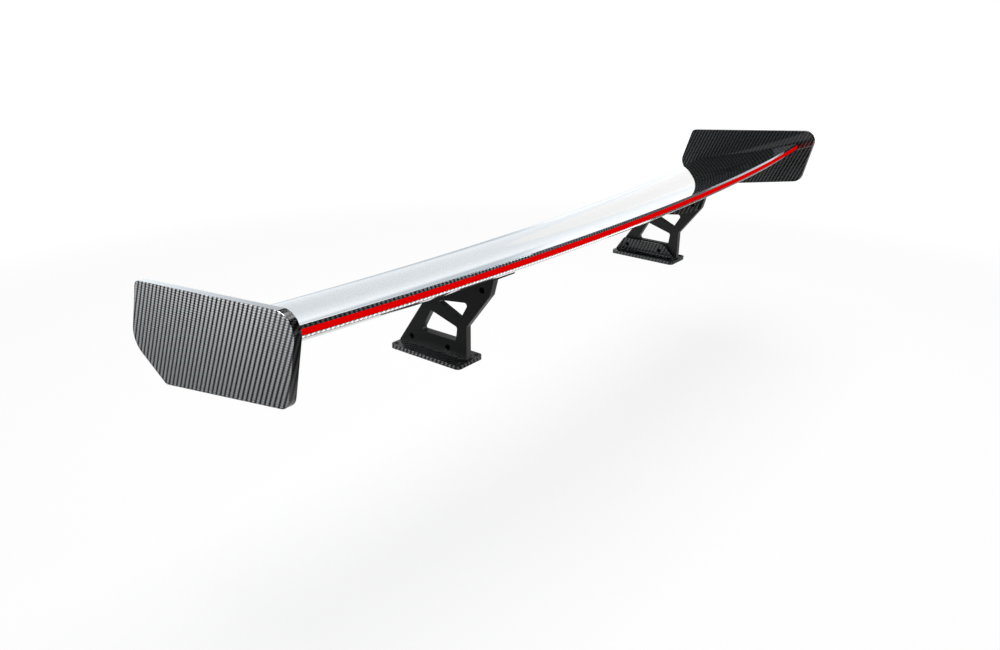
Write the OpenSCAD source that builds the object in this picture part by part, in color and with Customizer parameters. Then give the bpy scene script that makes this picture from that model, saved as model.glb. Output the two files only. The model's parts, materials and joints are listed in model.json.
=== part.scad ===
// Racing rear wing with a light strip in its trailing edge, in millimetres.
// X runs across the car to its right, Y runs forward, Z runs up from the mounting face.
// The origin is midway between the two feet, on the face they are bolted to.

/* [Overall] */
// Width over the two end plates
overall_width = 1400; // [1200:10:1600]
// Distance between the middle planes of the two uprights
upright_spacing = 630; // [500:5:800]

/* [Blade] */
// Chord of the blade, from the nose to the trailing edge
chord = 250; // [235:1:270]
// Angle of the chord line, nose down
incidence = 15.6; // [13.5:0.1:17.5]
// Thickness of the section, percent of the chord
section_thick = 11; // [10:0.5:13]
// Camber of the section, belly downwards, percent of the chord
section_camber = 4; // [3:0.25:5]
// Place of the greatest camber, percent of the chord
camber_place = 57; // [50:1:62]
// How far the middle of the trailing edge stands behind its ends
bow = 48; // [38:1:58]
// Trailing edge behind the middle of the feet, at mid span
edge_reach = 185; // [180:1:190]
// Middle of the trailing edge above the mounting face
edge_height = 180; // [179:0.5:186]
// Height of the blunt trailing edge, square to the chord line
edge_depth = 13.4; // [12.4:0.2:16]
// Thickness of the carbon skins
skin = 2; // [1.6:0.1:2.4]

/* [Blade structure] */
// Main spar behind the nose, along the chord
spar_place = 72.5; // [64:0.5:80]
// Width of the main spar's two caps
spar_cap_width = 32; // [24:1:40]
// Thickness of spar webs and caps
spar_wall = 2.5; // [2:0.1:3]
// Thickness of the ribs that close the blade's ends
end_rib_thick = 6; // [5:0.5:8]
// Thickness of the ribs above the uprights
mount_rib_thick = 4; // [3:0.5:6]
// Mount rib outboard of the upright's inner face
mount_rib_offset = 2.8; // [0.5:0.1:4]
// Thickness of the blocks that the brackets are screwed to
hardpoint_thick = 10; // [8:0.5:12]
// How far the blocks reach past the flange, front and rear
hardpoint_spare = 6; // [2:0.5:10]

/* [Light strip] */
// Height of the carbon lip above the lens
lip_height = 4; // [3.2:0.1:4.6]
// Height of the lower skin's rim under the lens
rim_height = 2.9; // [2.7:0.1:3.4]
// Depth of the lens, front to back
lens_depth = 5; // [4:0.5:6]
// Depth of the channel behind the lens
channel_depth = 9; // [7:0.5:10]
// Wall of the channel
channel_wall = 1.2; // [1:0.1:1.4]
// Thickness of the lamp board
board_thick = 1.6; // [1:0.1:2]
// Distance between the lamps on the board
lamp_pitch = 40; // [30:2:60]
// Depth of one lamp
lamp_depth = 1.2; // [0.8:0.1:1.6]
// Width of one lamp
lamp_width = 5; // [4:0.5:6]

/* [End plates] */
// Thickness of the end plates
plate_thick = 10; // [8:0.5:12]
// Upper front corner, ahead of the nose at the blade's end
plate_crown_y = 5; // [-4:1:14]
// Upper front corner, above the nose
plate_crown_z = 78; // [71:1:87]
// Upper rear corner, behind the trailing edge at the blade's end
plate_tail_y = 40; // [33:1:53]
// Upper rear corner, above the trailing edge
plate_tail_z = 37; // [28:1:46]
// Lower rear corner, behind the trailing edge at the blade's end
plate_heel_y = 14; // [8:1:23]
// Lower rear corner, below the trailing edge
plate_heel_z = 73; // [64:1:82]
// Lower front corner, behind the nose at the blade's end
plate_keel_y = 31; // [24:1:39]
// Lower front corner, below the nose
plate_keel_z = 43; // [35:1:51]
// Front corner, ahead of the nose at the blade's end
plate_nose_y = 31; // [24:1:41]
// Front corner, below the nose
plate_nose_z = 3; // [-3:1:8]
// Radius of the upper front corner
plate_crown_round = 10; // [6:1:14]
// Radius of the upper rear corner
plate_tail_round = 22; // [12:1:30]
// Radius of the lower rear corner
plate_heel_round = 18; // [10:1:26]
// Radius of the lower front corner
plate_keel_round = 8; // [4:1:12]
// Radius of the front corner
plate_nose_round = 26; // [14:1:34]
// Diameter of the dowels that hold an end plate
dowel_d = 6; // [5:0.5:8]
// Depth of a dowel in the end plate
dowel_depth = 6.5; // [5:0.5:7]

/* [Uprights] */
// Thickness of the uprights
upright_thick = 10; // [9:0.5:12]
// Front end of the lower edge, ahead of the foot's front end
upright_toe = 0.5; // [-3:0.5:3]
// Rear edge, ahead of the foot's rear end
upright_heel = 3; // [1:0.5:7]
// Knee where the rear edge starts to lean back, below the trailing edge
knee_z = 122; // [116:1:128]
// Rear edge below the head, ahead of the trailing edge
neck_y = 79; // [75:0.5:83]
// Rear edge below the head, below the trailing edge
neck_z = 67; // [63:1:71]
// Upper rear corner of the head, ahead of the trailing edge
head_y = 72; // [69:0.5:75]
// Upper rear corner of the head, below the trailing edge
head_z = 40.5; // [37:0.5:44]
// Bend in the upper edge, ahead of the trailing edge
crest_y = 131; // [127:1:135]
// Bend in the upper edge, below the trailing edge
crest_z = 66.5; // [64:0.5:69]
// Upper front corner, behind the foot's front end
shoulder_y = 48.5; // [44:0.5:53]
// Upper front corner, below the trailing edge
shoulder_z = 103.5; // [100:0.5:107]
// Radius of the upright's small corners
upright_round = 2; // [1:0.5:4]
// Radius of the bend in the upper edge
crest_round = 40; // [20:1:60]
// Radius where the head meets the leaning rear edge
neck_round = 12; // [6:1:18]

/* [Windows in the uprights] */
// Height of the lower window's sill
sill_z = 32.5; // [30:0.5:35]
// Front corner of the sill, behind the front edge
sill_front = 26.3; // [22:0.1:31]
// Rear corner of the sill, ahead of the rear edge
sill_rear = 20; // [17:0.5:24]
// Rear corner of the lower window, ahead of the rear edge
lower_rear_y = 17; // [14:0.5:20]
// Rear corner of the lower window, below the trailing edge
lower_rear_z = 126; // [123:0.5:130]
// Top corner of the lower window, behind the front edge
lower_top_y = 21.4; // [19:0.1:24]
// Top corner of the lower window, below the trailing edge
lower_top_z = 111.5; // [109:0.5:115]
// Front corner of the upper window, behind the upper edge
upper_front_y = 6.7; // [4:0.1:10]
// Front corner of the upper window, below the trailing edge
upper_front_z = 93; // [91:0.5:95]
// Rear corner of the upper window, ahead of the rear edge
upper_rear_y = 23.6; // [21:0.1:27]
// Rear corner of the upper window, below the trailing edge
upper_rear_z = 85; // [83:0.5:88]
// Lower corner of the upper window, ahead of the rear edge
upper_low_y = 19.1; // [16:0.1:22]
// Lower corner of the upper window, below the trailing edge
upper_low_z = 112; // [109:0.5:114]
// Radius of the windows' corners
window_round = 4; // [2:0.5:5]

/* [Feet] */
// Length of a foot, front to back
foot_length = 134; // [130:1:150]
// Width of a foot, across the car
foot_width = 56; // [52:1:66]
// Thickness of the foot's base
foot_thick = 6.4; // [5:0.2:8]
// Middle of a foot inboard of the middle of its upright
foot_inset = 1.5; // [0:0.5:4]
// Radius of the foot's corners
foot_round = 7; // [4:0.5:9]
// Mounting holes from the foot's front and rear ends
mount_margin_y = 7; // [6:0.5:10]
// Mounting holes from the foot's sides
mount_margin_x = 8; // [7:0.5:9]
// Diameter of the mounting holes
mount_hole_d = 6.6; // [5.5:0.1:8]
// Thickness of the upstand that the upright is bolted to
upstand_thick = 6; // [5:0.5:8]
// Upstand's upper edge below the window's sill
upstand_drop = 1.5; // [0.5:0.5:4]
// Length of the upstand's sloping rear end
upstand_slope = 26; // [18:1:30]
// Radius at the root of the upstand
upstand_fillet = 5; // [3:0.5:6]

/* [Brackets] */
// Thickness of the bracket's web beside the upright
web_thick = 6; // [5:0.5:8]
// Thickness of the bracket's flange under the blade
flange_thick = 3; // [2.5:0.1:4]
// Width of the flange, measured from the upright
flange_width = 36; // [32:1:44]
// Front end of the flange, ahead of the trailing edge
flange_front = 129; // [123:1:133]
// Pivot bolt ahead of the trailing edge
pivot_y = 93; // [90:0.5:96]
// Pivot bolt below the trailing edge
pivot_z = 61; // [59:0.5:64]
// Clamp screw ahead of the trailing edge
clamp_y = 139; // [137:0.5:141]
// Clamp screw below the trailing edge
clamp_z = 81.5; // [80.5:0.25:82.5]
// How far the web reaches past the clamp screw
ear_reach = 9; // [7:0.5:11]
// Half the height of the web around the clamp screw
ear_half = 6; // [5:0.5:7]
// Web's rear edge, ahead of the upright's
web_setback = 4.5; // [3:0.5:7]
// Radius of the web's corners
web_round = 3; // [2:0.5:4]
// Tilt that the clamp slots allow, trailing edge up, in degrees
tilt_range = 6; // [4:0.5:7]

/* [Fasteners] */
// Diameter of the bolts in the uprights
bolt_d = 5; // [4:0.5:6]
// Diameter of a bolt's head
bolt_head_d = 8.5; // [8:0.1:9.5]
// Height of a bolt's head
bolt_head_h = 5; // [4:0.25:6]
// Width across the flats of a bolt's socket
bolt_socket = 4; // [3:0.25:5]
// Diameter of the threaded inserts
insert_d = 8; // [7.5:0.25:10]
// Front bolt, behind the foot's front end
foot_bolt_front = 25; // [22:0.5:29]
// Rear bolt, ahead of the foot's rear end
foot_bolt_rear = 38.5; // [33:0.5:43]
// Height of the foot's bolts
foot_bolt_z = 18.6; // [17.5:0.1:20]
// Diameter of the clamp screws
clamp_d = 4; // [3:0.5:4.5]
// Metal left behind the clamp screw's blind hole
clamp_wall = 3; // [2:0.5:4]
// Diameter of the clamp washers
washer_d = 9; // [8.5:0.25:10]
// Thickness of the clamp washers
washer_thick = 0.8; // [0.5:0.1:1.2]
// Diameter of the flat-headed screws in the flange
flange_screw_d = 4; // [3:0.5:5]
// Flat-headed screws from the flange's front and rear ends
flange_screw_margin = 14; // [10:0.5:18]
// Wall of the cable grommet
grommet_wall = 2.5; // [2:0.25:3]
// Grommet inboard of the flange's edge
grommet_offset = 16; // [12:1:24]
// Bore of the cable grommet
cable_bore = 5; // [4:0.5:7]

/* [Fits] */
// Clearance of the pivot bolt in the upright, on the radius
running_fit = 0.05; // [0.02:0.01:0.1]
// Gap between faces that slide past each other
slide_gap = 0.2; // [0.1:0.05:0.4]
// Bond line between glued pieces
bond = 0.05; // [0.02:0.01:0.1]
// Clearance in threads and dowel holes, on the radius
thread_fit = 0.02; // [0.01:0.01:0.05]
// Clearance around sunk bolt heads, on the radius
head_gap = 0.3; // [0.2:0.05:0.5]
// Clearance of screws in plain holes and slots, on the radius
screw_gap = 0.2; // [0.1:0.05:0.3]
// How far the flat-headed screws are sunk below the flange
screw_sink = 0.2; // [0.1:0.05:0.4]
// Least gap between an upright and the blade's belly
belly_gap = 1; // [0.6:0.1:1.5]

/* [Hidden] */

$fn = 48;
bow_steps = 1800;
section_steps = 22;
arc_steps = 6;
far = 400;
sweep_spare = 30;
cut_past = 1;
hole_spare = 0.5;

carbon = [0.10, 0.10, 0.11];
black_metal = [0.16, 0.16, 0.17];
steel = [0.55, 0.56, 0.58];
alloy = [0.72, 0.73, 0.75];
red = [0.85, 0.05, 0.05];

// Span and bow: the blade is a section carried round an arc about an upright axis.
half_span = overall_width / 2 - plate_thick;
bow_r = (half_span * half_span + bow * bow) / (2 * bow);
bow_y = bow_r - edge_reach;
bow_angle = asin((half_span + sweep_spare) / (bow_r - chord));

// Section: a thickness form about a camber line, with a blunt trailing edge.
aft = [-cos(incidence), sin(incidence)];
up = [sin(incidence), cos(incidence)];
edge = [-edge_reach, edge_height];
nose = edge - chord * aft;
x_last = 1.02;

function thickness(x) =
    0.05 * section_thick * (0.2969 * sqrt(x) - 0.126 * x - 0.3516 * pow(x, 2)
        + 0.2843 * pow(x, 3) - 0.1036 * pow(x, 4))
    + x * edge_depth / (2 * chord);
function camber(x, m = section_camber / 100, p = camber_place / 100) =
    x < p ? -m * (2 * p * x - x * x) / (p * p)
          : -m * (1 - 2 * p + 2 * p * x - x * x) / pow(1 - p, 2);
function unit(v) = v / norm(v);
function surface_point(x, side) = nose + chord * (x * aft + (camber(x) + side * thickness(x)) * up);
function tangent(x, side, e = 0.0005) = surface_point(x + e, side) - surface_point(max(x - e, 0), side);
function outward(x, side) = x == 0 ? -aft : let (t = tangent(x, side)) side * unit([t[1], -t[0]]);
function layer_point(x, side, depth) = surface_point(x, side) - depth * outward(x, side);
stations = [for (i = [0 : section_steps]) x_last * (1 - cos(180 * i / section_steps)) / 2];
function reversed(v) = [for (i = [len(v) - 1 : -1 : 0]) v[i]];
// Layers are drawn through the same stations, so that stacked ones lie a constant gap apart.
function station_before(x) = max([for (i = [0 : section_steps - 1]) if (stations[i] <= x) i]);
function on_layer(x, side, depth) =
    let (i = station_before(x),
         share = (x - stations[i]) / (stations[i + 1] - stations[i]))
    (1 - share) * layer_point(stations[i], side, depth) + share * layer_point(stations[i + 1], side, depth);
function layer_line(a, b, side, depth) = concat(
    [on_layer(a, side, depth)],
    [for (x = stations) if (x > a && x < b) layer_point(x, side, depth)],
    [on_layer(b, side, depth)]);
function layer_z(y, side, depth) = lookup(y, layer_line(0.3, x_last, side, depth));
function spread(points) = [for (p = points) [bow_y - p[0], p[1]]];

// Trailing edge: the lens sits between the lip and the rim, sloping like the camber line.
edge_slope = incidence + atan(2 * section_camber / (100 - camber_place));
edge_in = [cos(edge_slope), -sin(edge_slope)];
edge_over = [sin(edge_slope), cos(edge_slope)];
lens_low = layer_z(-edge_reach, -1, 0) + rim_height + bond;
lens_high = layer_z(-edge_reach, 1, 0) - lip_height - bond;
lens_mid = [-edge_reach, (lens_low + lens_high) / 2];
lens_half = (lens_high - lens_low) / 2 * cos(edge_slope);
channel_front = lens_depth + bond + channel_depth;
spar_rear = channel_front + bond;
spar_front = spar_rear + spar_wall;
board_front = channel_front - channel_wall - bond;
board_rear = board_front - board_thick;

function edge_point(along, over) = lens_mid + along * edge_in + over * edge_over;

// Stations across the car, on the right-hand side.
upright_in = upright_spacing / 2 - upright_thick / 2;
upright_out = upright_in + upright_thick;
foot_x = upright_spacing / 2 - foot_inset;
mount_half_x = foot_width / 2 - mount_margin_x;
mount_half_y = foot_length / 2 - mount_margin_y;
upstand_in = upright_in - upstand_thick;
web_out = upright_in - slide_gap;
web_in = web_out - web_thick;
flange_in = web_out - flange_width;
flange_screw_x = (flange_in + web_in) / 2;
bolt_seat = upright_out - bolt_head_h - head_gap;

// Places on the side view, as [along, up].
function from_edge(ahead, below) = edge + [ahead, -below];
function between(p, q, z) = p[0] + (q[0] - p[0]) * (z - p[1]) / (q[1] - p[1]);
toe = [foot_length / 2 + upright_toe, foot_thick];
heel = [upright_heel - foot_length / 2, foot_thick];
knee = [heel[0], edge[1] - knee_z];
neck = from_edge(neck_y, neck_z);
head = from_edge(head_y, head_z);
crest = from_edge(crest_y, crest_z);
shoulder = [foot_length / 2 - shoulder_y, edge[1] - shoulder_z];
pivot = from_edge(pivot_y, pivot_z);
clamp = from_edge(clamp_y, clamp_z);
foot_bolt_places = [
    [foot_length / 2 - foot_bolt_front, foot_bolt_z],
    [foot_bolt_rear - foot_length / 2, foot_bolt_z]
];
clamp_r = norm(clamp - pivot);
clamp_angle = atan2(clamp[1] - pivot[1], clamp[0] - pivot[0]);
clamp_head_d = clamp_d * 1.75;
clamp_depth = upright_thick - clamp_wall;

// Window corners stand off the upright's edges at their own height.
function behind_front(inset, z) = [between(toe, shoulder, z) - inset, z];
function behind_top(inset, z) = [between(shoulder, crest, z) - inset, z];
function ahead_of_rear(inset, z) = [(z < knee[1] ? knee[0] : between(knee, neck, z)) + inset, z];
lower_top = behind_front(lower_top_y, edge[1] - lower_top_z);
lower_rear = ahead_of_rear(lower_rear_y, edge[1] - lower_rear_z);
upper_front = behind_top(upper_front_y, edge[1] - upper_front_z);
upper_rear = ahead_of_rear(upper_rear_y, edge[1] - upper_rear_z);
upper_low = ahead_of_rear(upper_low_y, edge[1] - upper_low_z);

// Places along the chord. A flange's ends are set off by how far the bow has come forward there.
flange_bow = bow_r - sqrt(bow_r * bow_r - flange_screw_x * flange_screw_x);
function chord_place(ahead) = 1 - (ahead - flange_bow) / (chord * cos(incidence));
flange_screw_places = [
    chord_place(flange_front - flange_screw_margin),
    chord_place(head_y + flange_screw_margin)
];
hardpoint_front = chord_place(flange_front + hardpoint_spare);
hardpoint_rear = chord_place(head_y - hardpoint_spare);
dowel_places = [0.14, 0.4, 0.72];
grommet_place = 0.62;
grommet_x = flange_in - grommet_offset;

// Rounded outline: each corner is [along, up, radius], and a radius never takes more than half a side.
function corner_arc(a, p, b) =
    let (q = [p[0], p[1]],
         to_a = [a[0], a[1]] - q,
         to_b = [b[0], b[1]] - q,
         u = unit(to_a),
         v = unit(to_b),
         half = acos(u * v) / 2,
         r = min(p[2], min(norm(to_a), norm(to_b)) / 2 * tan(half)),
         middle = q + unit(u + v) * r / sin(half),
         from = unit(q + u * r / tan(half) - middle),
         to = unit(q + v * r / tan(half) - middle))
    [for (i = [0 : arc_steps]) middle + r * unit(from * (1 - i / arc_steps) + to * i / arc_steps)];
function rounded(c) =
    [for (i = [0 : len(c) - 1]) each corner_arc(c[(i + len(c) - 1) % len(c)], c[i], c[(i + 1) % len(c)])];
function corner(p, r) = [p[0], p[1], r];

end_nose = nose + [bow, 0];
end_edge = edge + [bow, 0];
endplate_outline = rounded([
    corner(end_nose + [plate_crown_y, plate_crown_z], plate_crown_round),
    corner(end_edge + [-plate_tail_y, plate_tail_z], plate_tail_round),
    corner(end_edge + [-plate_heel_y, -plate_heel_z], plate_heel_round),
    corner(end_nose + [-plate_keel_y, -plate_keel_z], plate_keel_round),
    corner(end_nose + [plate_nose_y, -plate_nose_z], plate_nose_round)
]);
upright_outline = rounded([
    corner(toe, upright_round / 2),
    corner(shoulder, upright_round),
    corner(crest, crest_round),
    corner(head, upright_round),
    corner(neck, neck_round),
    corner(knee, upright_round),
    corner(heel, upright_round / 2)
]);
lower_window = rounded([
    corner(lower_top, window_round),
    corner(behind_front(sill_front, sill_z), window_round),
    corner(ahead_of_rear(sill_rear, sill_z), window_round),
    corner(lower_rear, window_round)
]);
upper_window = rounded([
    corner(upper_front, window_round / 2),
    corner(upper_rear, window_round),
    corner(upper_low, window_round)
]);
upstand_top = sill_z - upstand_drop;
upstand_outline = rounded([
    corner(toe, upright_round / 2),
    corner(behind_front(0, upstand_top), upright_round),
    corner([heel[0] + upstand_slope, upstand_top], 2 * upstand_fillet),
    corner(heel, upright_round / 2)
]);
flange_start = from_edge(flange_front, crest_z);
web_outline = rounded([
    corner(clamp + [ear_reach, -ear_half], web_round),
    corner(clamp + [ear_reach, ear_half], web_round),
    corner(flange_start, upright_round / 2),
    corner([flange_start[0], edge[1]], upright_round / 2),
    corner([head[0] + web_setback, edge[1]], upright_round / 2),
    corner(head + [web_setback, -web_round], web_round),
    corner(neck + [web_setback, -web_round], web_round),
    corner(upper_rear + [0, upstand_drop], 2 * web_round)
]);

// Carries a section round the bow and keeps it between two stations across the car.
module bowed(from_x, to_x) {
    intersection() {
        translate([0, bow_y, 0])
            rotate([0, 0, -90 - bow_angle])
                rotate_extrude(angle = 2 * bow_angle, $fn = bow_steps)
                    children();
        translate([from_x, -far, -far])
            cube([to_x - from_x, 2 * far, 2 * far]);
    }
}

// A layer of the section between two chord stations and two depths under the surface.
module layer(a, b, side, shallow, deep) {
    polygon(spread(concat(layer_line(a, b, side, shallow), reversed(layer_line(a, b, side, deep)))));
}

// Everything above the belly, less a gap under it.
module above_belly(gap) {
    polygon(spread(concat(
        layer_line(0.2, x_last, -1, -gap),
        [edge + [-far, far], [nose[0], edge[1] + far]])));
}

// The hollow between the skins, from a chord station back to the rear spar.
module hollow(from) {
    intersection() {
        polygon(spread(concat(
            layer_line(0.02, x_last, 1, skin + bond),
            reversed(layer_line(0.02, x_last, -1, skin + bond)))));
        polygon(spread([
            nose + chord * from * aft + far * up,
            nose + chord * from * aft - far * up,
            edge_point(spar_front + bond, -far),
            edge_point(spar_front + bond, far)
        ]));
    }
}

// A side-view outline as a plate across the car.
module side_plate(from_x, thick) {
    translate([from_x, 0, 0])
        rotate([90, 0, 90])
            linear_extrude(thick)
                children();
}

// A round bar across the car at a side-view place.
module cross_bar(from_x, to_x, place, d) {
    translate([from_x, place[0], place[1]])
        rotate([0, 90, 0])
            cylinder(d = d, h = to_x - from_x);
}

// Puts a piece on the blade's surface with its own Z axis pointing out of it.
module on_surface(across, x, side) {
    p = surface_point(x, side);
    n = outward(x, side);
    translate([0, bow_y, 0])
        rotate([0, 0, asin(across / (bow_y - p[0]))])
            translate([0, p[0] - bow_y, p[1]])
                rotate([atan2(-n[0], n[1]), 0, 0])
                    children();
}

// A socket-headed bolt driven inwards from the upright's outer side.
module cap_bolt(place, to_x, shank_d) {
    difference() {
        union() {
            cross_bar(bolt_seat, bolt_seat + bolt_head_h, place, bolt_head_d);
            cross_bar(to_x, bolt_seat, place, shank_d);
        }
        translate([bolt_seat + bolt_head_h / 2, place[0], place[1]])
            rotate([0, 90, 0])
                cylinder(d = bolt_socket / cos(30), h = bolt_head_h, $fn = 6);
    }
}

// A threaded insert flush with both faces of a wall.
module insert(from_x, thick, place) {
    difference() {
        cross_bar(from_x, from_x + thick, place, insert_d);
        cross_bar(from_x - cut_past, from_x + thick + cut_past, place, bolt_d + 2 * thread_fit);
    }
}

module foot() {
    color(carbon)
    difference() {
        union() {
            linear_extrude(foot_thick)
                polygon(rounded([
                    [foot_x - foot_width / 2, -foot_length / 2, foot_round],
                    [foot_x + foot_width / 2, -foot_length / 2, foot_round],
                    [foot_x + foot_width / 2, foot_length / 2, foot_round],
                    [foot_x - foot_width / 2, foot_length / 2, foot_round]
                ]));
            side_plate(upstand_in, upstand_thick)
                polygon(upstand_outline);
            difference() {
                translate([upstand_in - upstand_fillet, heel[0] + 2 * upstand_fillet, foot_thick - cut_past])
                    cube([upstand_fillet + cut_past, toe[0] - heel[0] - 4 * upstand_fillet,
                        upstand_fillet + cut_past]);
                translate([upstand_in - upstand_fillet, 0, foot_thick + upstand_fillet])
                    rotate([90, 0, 0])
                        cylinder(r = upstand_fillet, h = 2 * far, center = true);
            }
        }
        for (sx = [-1, 1], sy = [-1, 1])
            translate([foot_x + sx * mount_half_x, sy * mount_half_y, -cut_past])
                cylinder(d = mount_hole_d, h = foot_thick + 2 * cut_past);
        for (place = foot_bolt_places)
            cross_bar(upstand_in - 2 * upstand_fillet, upright_in + cut_past, place,
                insert_d + 2 * thread_fit);
    }
}

module upright() {
    color(black_metal)
    difference() {
        side_plate(upright_in, upright_thick)
            difference() {
                polygon(upright_outline);
                polygon(lower_window);
                polygon(upper_window);
            }
        for (place = concat(foot_bolt_places, [pivot])) {
            cross_bar(bolt_seat, upright_out + cut_past, place, bolt_head_d + 2 * head_gap);
            cross_bar(upright_in - cut_past, bolt_seat + cut_past, place, bolt_d + 2 * running_fit);
        }
        cross_bar(upright_in - cut_past, upright_in + clamp_depth, clamp, clamp_d + 2 * thread_fit);
        bowed(upright_in - cut_past, upright_out + cut_past)
            above_belly(belly_gap);
    }
}

module foot_bolts() {
    color(steel)
    for (place = foot_bolt_places)
        cap_bolt(place, upstand_in, bolt_d);
}

module foot_inserts() {
    color(steel)
    for (place = foot_bolt_places)
        insert(upstand_in, upstand_thick, place);
}

module clamp_screw() {
    head_seat = web_in - slide_gap - washer_thick;
    color(steel)
    difference() {
        union() {
            cross_bar(head_seat - clamp_d, head_seat, clamp, clamp_head_d);
            cross_bar(head_seat, upright_in + clamp_depth - hole_spare, clamp, clamp_d);
        }
        translate([head_seat - clamp_d - cut_past, clamp[0], clamp[1]])
            rotate([0, 90, 0])
                cylinder(d = clamp_d * 0.86, h = clamp_d / 2 + cut_past, $fn = 6);
    }
}

module clamp_washer() {
    color(steel)
    difference() {
        cross_bar(web_in - slide_gap - washer_thick, web_in - slide_gap, clamp, washer_d);
        cross_bar(web_in - washer_d, web_in + cut_past, clamp, clamp_d + 2 * thread_fit);
    }
}

module bracket() {
    slot_d = clamp_d + 2 * screw_gap;
    color(carbon)
    difference() {
        union() {
            difference() {
                side_plate(web_in, web_thick)
                    polygon(web_outline);
                bowed(web_in - cut_past, web_out + cut_past)
                    above_belly(bond);
            }
            intersection() {
                bowed(flange_in, web_out)
                    layer(0.35, 0.95, -1, -bond, -bond - flange_thick);
                translate([flange_in - cut_past, head[0], 0])
                    cube([flange_width + 2 * cut_past, flange_front - head_y, far]);
            }
        }
        cross_bar(web_in - cut_past, web_out + cut_past, pivot, insert_d + 2 * thread_fit);
        for (i = [0 : 8]) {
            a = clamp_angle + tilt_range * i / 8;
            cross_bar(web_in - cut_past, web_out + cut_past, pivot + clamp_r * [cos(a), sin(a)], slot_d);
        }
        for (x = flange_screw_places)
            on_surface(flange_screw_x, x, -1)
                flange_screw_cut();
    }
}

// The flat-headed screw and the hole it needs in the flange, with Z pointing out of the skin.
module flange_screw_cut() {
    under = bond + flange_thick;
    translate([0, 0, -cut_past])
        cylinder(d = flange_screw_d + 2 * screw_gap, h = flange_thick + 2 * cut_past);
    translate([0, 0, under - screw_sink - flange_screw_d / 2])
        cylinder(d1 = flange_screw_d + 2 * screw_gap, d2 = 2 * (flange_screw_d + screw_gap),
            h = flange_screw_d / 2);
    translate([0, 0, under - screw_sink])
        cylinder(d = 2 * (flange_screw_d + screw_gap), h = cut_past + screw_sink);
}

module flange_screw() {
    under = bond + flange_thick;
    length = skin + hardpoint_thick - flange_screw_d / 2;
    difference() {
        union() {
            translate([0, 0, -length])
                cylinder(d = flange_screw_d, h = length + under - screw_sink);
            translate([0, 0, under - screw_sink - flange_screw_d / 2])
                cylinder(d1 = flange_screw_d, d2 = 2 * flange_screw_d, h = flange_screw_d / 2);
        }
        translate([0, 0, under - screw_sink - flange_screw_d * 0.4])
            cylinder(d = flange_screw_d * 0.72, h = flange_screw_d, $fn = 6);
    }
}

module bracket_screws() {
    color(steel)
    for (x = flange_screw_places)
        on_surface(flange_screw_x, x, -1)
            flange_screw();
}

module pivot_bolt() {
    color(steel)
    cap_bolt(pivot, web_in, bolt_d);
}

module pivot_insert() {
    color(steel)
    insert(web_in, web_thick, pivot);
}

module hardpoint() {
    color(alloy)
    difference() {
        bowed(flange_in, web_out)
            layer(hardpoint_front, hardpoint_rear, -1, skin + bond, skin + bond + hardpoint_thick);
        for (x = flange_screw_places)
            on_surface(flange_screw_x, x, -1)
                translate([0, 0, -skin - hardpoint_thick + flange_screw_d / 2 - hole_spare])
                    cylinder(d = flange_screw_d + 2 * thread_fit, h = far);
    }
}

module mount_rib() {
    rib_in = upright_in + mount_rib_offset;
    color(carbon)
    bowed(rib_in, rib_in + mount_rib_thick)
        hollow((spar_place + spar_cap_width / 2 + 2 * spar_wall) / chord);
}

module end_rib() {
    color(carbon)
    difference() {
        bowed(half_span - end_rib_thick, half_span)
            hollow(0.05);
        endplate_dowel_bores();
    }
}

module endplate_dowel_bores() {
    for (x = dowel_places)
        dowel(x, half_span - end_rib_thick - cut_past, half_span + dowel_depth + hole_spare,
            dowel_d + 2 * thread_fit);
}

// A dowel across the car on the section's middle line at the blade's end.
module dowel(x, from_x, to_x, d) {
    p = (surface_point(x, 1) + surface_point(x, -1)) / 2;
    y = bow_y - sqrt(pow(bow_y - p[0], 2) - half_span * half_span);
    cross_bar(from_x, to_x, [y, p[1]], d);
}

module endplate_dowels() {
    color(alloy)
    for (x = dowel_places)
        dowel(x, half_span - end_rib_thick, half_span + dowel_depth, dowel_d);
}

module endplate() {
    color(carbon)
    difference() {
        side_plate(half_span, plate_thick)
            polygon(endplate_outline);
        endplate_dowel_bores();
    }
}

module left_foot() mirror([1, 0, 0]) foot();
module right_foot() foot();
module left_upright() mirror([1, 0, 0]) upright();
module right_upright() upright();
module left_foot_bolts() mirror([1, 0, 0]) foot_bolts();
module right_foot_bolts() foot_bolts();
module left_foot_inserts() mirror([1, 0, 0]) foot_inserts();
module right_foot_inserts() foot_inserts();
module left_clamp_screw() mirror([1, 0, 0]) clamp_screw();
module right_clamp_screw() clamp_screw();
module left_clamp_washer() mirror([1, 0, 0]) clamp_washer();
module right_clamp_washer() clamp_washer();
module left_end_rib() mirror([1, 0, 0]) end_rib();
module right_end_rib() end_rib();
module left_mount_rib() mirror([1, 0, 0]) mount_rib();
module right_mount_rib() mount_rib();
module left_hardpoint() mirror([1, 0, 0]) hardpoint();
module right_hardpoint() hardpoint();
module left_bracket() mirror([1, 0, 0]) bracket();
module right_bracket() bracket();
module left_bracket_screws() mirror([1, 0, 0]) bracket_screws();
module right_bracket_screws() bracket_screws();
module left_pivot_bolt() mirror([1, 0, 0]) pivot_bolt();
module right_pivot_bolt() pivot_bolt();
module left_pivot_insert() mirror([1, 0, 0]) pivot_insert();
module right_pivot_insert() pivot_insert();
module left_endplate() mirror([1, 0, 0]) endplate();
module right_endplate() endplate();
module left_endplate_dowels() mirror([1, 0, 0]) endplate_dowels();
module right_endplate_dowels() endplate_dowels();

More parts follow.
